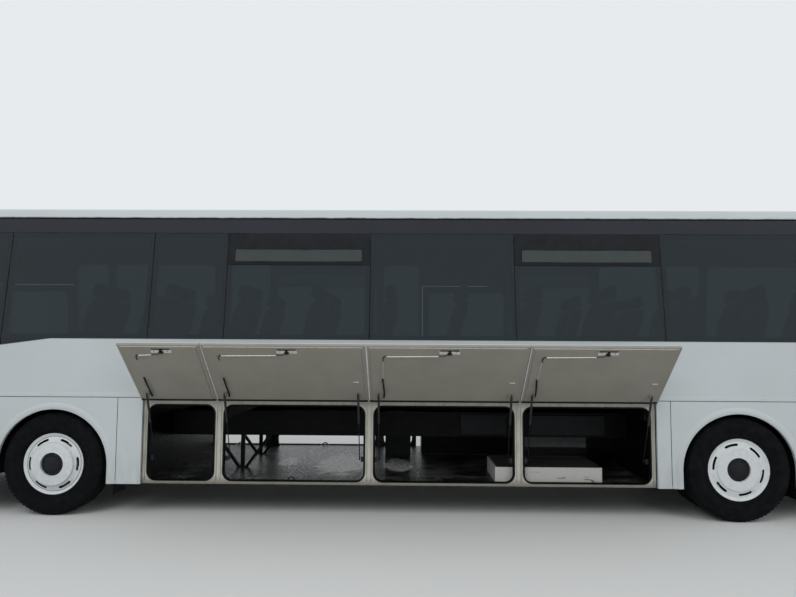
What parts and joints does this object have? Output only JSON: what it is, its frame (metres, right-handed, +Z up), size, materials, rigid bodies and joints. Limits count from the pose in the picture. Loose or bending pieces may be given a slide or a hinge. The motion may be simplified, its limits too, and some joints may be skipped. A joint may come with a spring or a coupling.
{
  "type": "intercity coach bus",
  "caption": "Single-deck intercity coach on its wheels, with its underfloor luggage hold open on both sides and side flaps held up by gas struts.",
  "frame": {"origin": "on the ground, in the middle of the box round the coach with its mirrors and open flaps", "axes": "+X to the rear, +Y to the vehicle's right-hand side, +Z up"},
  "size_m": [12.94, 3.8674, 3.2263],
  "materials": {
    "paint_white": "gloss",
    "glass_tinted": "polished",
    "trim_black": "satin",
    "lamp_clear": "gloss",
    "frame_cream": "satin",
    "flap_lining": "satin",
    "strut_tube": "gloss",
    "strut_rod": "polished",
    "chassis_black": "satin",
    "hold_lining": "satin",
    "deck": "matt",
    "equipment": "satin",
    "seat_fabric": "woven",
    "cast": "cast",
    "wheel_white": "satin",
    "tyre": "matt",
    "rubber": "matt"
  },
  "bodies": {
    "coach": {"side_wall_left": "paint_white", "side_wall_right": "paint_white", "roof": "paint_white", "front_mask": "paint_white", "rear_cap": "paint_white", "bumpers": "paint_white", "skirts_left": "paint_white", "skirts_right": "paint_white", "windscreen": "glass_tinted", "glazing": "glass_tinted", "lamps": "lamp_clear", "hold_frame_left": "frame_cream", "hold_frame_right": "frame_cream", "passenger_floor": "deck", "hold_tub": "hold_lining", "hold_equipment": "equipment", "chassis_frame": "chassis_black", "stairwells": "deck", "plug_doors": "trim_black", "seats": "seat_fabric", "dashboard": "trim_black", "front_axle": "cast", "rear_axle": "cast", "engine": "cast", "tanks": "chassis_black", "mirrors_and_wipers": "trim_black", "mud_flaps": "rubber"},
    "knuckle_left": {"knuckle_left": "cast"},
    "front_wheel_left": {"front_wheel_left": "wheel_white", "front_tyre_left": "tyre"},
    "rear_wheels_left": {"rear_wheels_left": "wheel_white", "rear_tyres_left": "tyre"},
    "knuckle_right": {"knuckle_right": "cast"},
    "front_wheel_right": {"front_wheel_right": "wheel_white", "front_tyre_right": "tyre"},
    "rear_wheels_right": {"rear_wheels_right": "wheel_white", "rear_tyres_right": "tyre"},
    "flap_left_1": {"flap_left_1": "flap_lining"},
    "strut_tubes_left_1": {"strut_tubes_left_1": "strut_tube"},
    "strut_rods_left_1": {"strut_rods_left_1": "strut_rod"},
    "flap_left_2": {"flap_left_2": "flap_lining"},
    "strut_tubes_left_2": {"strut_tubes_left_2": "strut_tube"},
    "strut_rods_left_2": {"strut_rods_left_2": "strut_rod"},
    "flap_left_3": {"flap_left_3": "flap_lining"},
    "strut_tubes_left_3": {"strut_tubes_left_3": "strut_tube"},
    "strut_rods_left_3": {"strut_rods_left_3": "strut_rod"},
    "flap_left_4": {"flap_left_4": "flap_lining"},
    "strut_tubes_left_4": {"strut_tubes_left_4": "strut_tube"},
    "strut_rods_left_4": {"strut_rods_left_4": "strut_rod"},
    "flap_right_1": {"flap_right_1": "flap_lining"},
    "strut_tubes_right_1": {"strut_tubes_right_1": "strut_tube"},
    "strut_rods_right_1": {"strut_rods_right_1": "strut_rod"},
    "flap_right_2": {"flap_right_2": "flap_lining"},
    "strut_tubes_right_2": {"strut_tubes_right_2": "strut_tube"},
    "strut_rods_right_2": {"strut_rods_right_2": "strut_rod"},
    "flap_right_3": {"flap_right_3": "flap_lining"},
    "engine_lid": {"engine_lid": "paint_white"},
    "roof_hatch_front": {"roof_hatch_front": "trim_black"},
    "roof_hatch_rear": {"roof_hatch_rear": "trim_black"}
  },
  "joints": [
    {"name": "steer_left", "type": "hinge", "parent": "coach", "child": "knuckle_left", "pos_m": [-3.59, -0.985, 0.5], "axis": [0, 0, 1], "range_deg": [-40, 40]},
    {"name": "roll_front_left", "type": "hinge", "parent": "knuckle_left", "child": "front_wheel_left", "pos_m": [-3.59, -1.122, 0.5], "axis": [0, 1, 0], "continuous": true},
    {"name": "roll_rear_left", "type": "hinge", "parent": "coach", "child": "rear_wheels_left", "pos_m": [3.13, -1.136, 0.5], "axis": [0, 1, 0], "continuous": true},
    {"name": "steer_right", "type": "hinge", "parent": "coach", "child": "knuckle_right", "pos_m": [-3.59, 0.985, 0.5], "axis": [0, 0, 1], "range_deg": [-40, 40]},
    {"name": "roll_front_right", "type": "hinge", "parent": "knuckle_right", "child": "front_wheel_right", "pos_m": [-3.59, 1.122, 0.5], "axis": [0, 1, 0], "continuous": true},
    {"name": "roll_rear_right", "type": "hinge", "parent": "coach", "child": "rear_wheels_right", "pos_m": [3.13, 1.136, 0.5], "axis": [0, 1, 0], "continuous": true},
    {"name": "open_flap_left_1", "type": "hinge", "parent": "coach", "child": "flap_left_1", "pos_m": [0, -1.281, 1.16], "axis": [-1, 0, 0], "range_deg": [-131, 0]},
    {"name": "swing_strut_tubes_left_1", "type": "hinge", "parent": "flap_left_1", "child": "strut_tubes_left_1", "pos_m": [0, -1.42865, 1.20355], "axis": [-1, 0, 0], "range_deg": [-0.05, 146.88]},
    {"name": "slide_strut_rods_left_1", "type": "slide", "parent": "strut_tubes_left_1", "child": "strut_rods_left_1", "axis": [0, -0.3791, 0.9254], "range_m": [-0.0005, 0.23303]},
    {"name": "open_flap_left_2", "type": "hinge", "parent": "coach", "child": "flap_left_2", "pos_m": [0, -1.281, 1.16], "axis": [-1, 0, 0], "range_deg": [-131, 0]},
    {"name": "swing_strut_tubes_left_2", "type": "hinge", "parent": "flap_left_2", "child": "strut_tubes_left_2", "pos_m": [0, -1.42865, 1.20355], "axis": [-1, 0, 0], "range_deg": [-0.05, 146.88]},
    {"name": "slide_strut_rods_left_2", "type": "slide", "parent": "strut_tubes_left_2", "child": "strut_rods_left_2", "axis": [0, -0.3791, 0.9254], "range_m": [-0.0005, 0.23303]},
    {"name": "open_flap_left_3", "type": "hinge", "parent": "coach", "child": "flap_left_3", "pos_m": [0, -1.281, 1.16], "axis": [-1, 0, 0], "range_deg": [-131, 0]},
    {"name": "swing_strut_tubes_left_3", "type": "hinge", "parent": "flap_left_3", "child": "strut_tubes_left_3", "pos_m": [0, -1.42865, 1.20355], "axis": [-1, 0, 0], "range_deg": [-0.05, 146.88]},
    {"name": "slide_strut_rods_left_3", "type": "slide", "parent": "strut_tubes_left_3", "child": "strut_rods_left_3", "axis": [0, -0.3791, 0.9254], "range_m": [-0.0005, 0.23303]},
    {"name": "open_flap_left_4", "type": "hinge", "parent": "coach", "child": "flap_left_4", "pos_m": [0, -1.281, 1.16], "axis": [-1, 0, 0], "range_deg": [-131, 0]},
    {"name": "swing_strut_tubes_left_4", "type": "hinge", "parent": "flap_left_4", "child": "strut_tubes_left_4", "pos_m": [0, -1.42865, 1.20355], "axis": [-1, 0, 0], "range_deg": [-0.05, 146.88]},
    {"name": "slide_strut_rods_left_4", "type": "slide", "parent": "strut_tubes_left_4", "child": "strut_rods_left_4", "axis": [0, -0.3791, 0.9254], "range_m": [-0.0005, 0.23303]},
    {"name": "open_flap_right_1", "type": "hinge", "parent": "coach", "child": "flap_right_1", "pos_m": [0, 1.281, 1.16], "axis": [1, 0, 0], "range_deg": [-131, 0]},
    {"name": "swing_strut_tubes_right_1", "type": "hinge", "parent": "flap_right_1", "child": "strut_tubes_right_1", "pos_m": [0, 1.42865, 1.20355], "axis": [1, 0, 0], "range_deg": [-0.05, 146.88]},
    {"name": "slide_strut_rods_right_1", "type": "slide", "parent": "strut_tubes_right_1", "child": "strut_rods_right_1", "axis": [0, 0.3791, 0.9254], "range_m": [-0.0005, 0.23303]},
    {"name": "open_flap_right_2", "type": "hinge", "parent": "coach", "child": "flap_right_2", "pos_m": [0, 1.281, 1.16], "axis": [1, 0, 0], "range_deg": [-131, 0]},
    {"name": "swing_strut_tubes_right_2", "type": "hinge", "parent": "flap_right_2", "child": "strut_tubes_right_2", "pos_m": [0, 1.42865, 1.20355], "axis": [1, 0, 0], "range_deg": [-0.05, 146.88]},
    {"name": "slide_strut_rods_right_2", "type": "slide", "parent": "strut_tubes_right_2", "child": "strut_rods_right_2", "axis": [0, 0.3791, 0.9254], "range_m": [-0.0005, 0.23303]},
    {"name": "open_flap_right_3", "type": "hinge", "parent": "coach", "child": "flap_right_3", "pos_m": [0, 1.281, 1.16], "axis": [1, 0, 0], "range_deg": [-131, 0]},
    {"name": "open_engine_lid", "type": "hinge", "parent": "coach", "child": "engine_lid", "pos_m": [6.436, 0, 1.504], "axis": [0, -1, 0], "range_deg": [0, 75]},
    {"name": "open_roof_hatch_front", "type": "hinge", "parent": "coach", "child": "roof_hatch_front", "pos_m": [-2.844, 0, 3.196], "axis": [0, -1, 0], "range_deg": [0, 60]},
    {"name": "open_roof_hatch_rear", "type": "hinge", "parent": "coach", "child": "roof_hatch_rear", "pos_m": [2.356, 0, 3.196], "axis": [0, -1, 0], "range_deg": [0, 60]}
  ],
  "couplings": [
    {"joint": "steer_right", "follows": "steer_left", "ratio": 1},
    {"joint": "swing_strut_tubes_left_1", "follows": "open_flap_left_1", "ratio": -1.1208},
    {"joint": "slide_strut_rods_left_1", "follows": "open_flap_left_1", "m_per_rad": -0.1017},
    {"joint": "swing_strut_tubes_left_2", "follows": "open_flap_left_2", "ratio": -1.1208},
    {"joint": "slide_strut_rods_left_2", "follows": "open_flap_left_2", "m_per_rad": -0.1017},
    {"joint": "swing_strut_tubes_left_3", "follows": "open_flap_left_3", "ratio": -1.1208},
    {"joint": "slide_strut_rods_left_3", "follows": "open_flap_left_3", "m_per_rad": -0.1017},
    {"joint": "swing_strut_tubes_left_4", "follows": "open_flap_left_4", "ratio": -1.1208},
    {"joint": "slide_strut_rods_left_4", "follows": "open_flap_left_4", "m_per_rad": -0.1017},
    {"joint": "swing_strut_tubes_right_1", "follows": "open_flap_right_1", "ratio": -1.1208},
    {"joint": "slide_strut_rods_right_1", "follows": "open_flap_right_1", "m_per_rad": -0.1017},
    {"joint": "swing_strut_tubes_right_2", "follows": "open_flap_right_2", "ratio": -1.1208},
    {"joint": "slide_strut_rods_right_2", "follows": "open_flap_right_2", "m_per_rad": -0.1017}
  ]
}
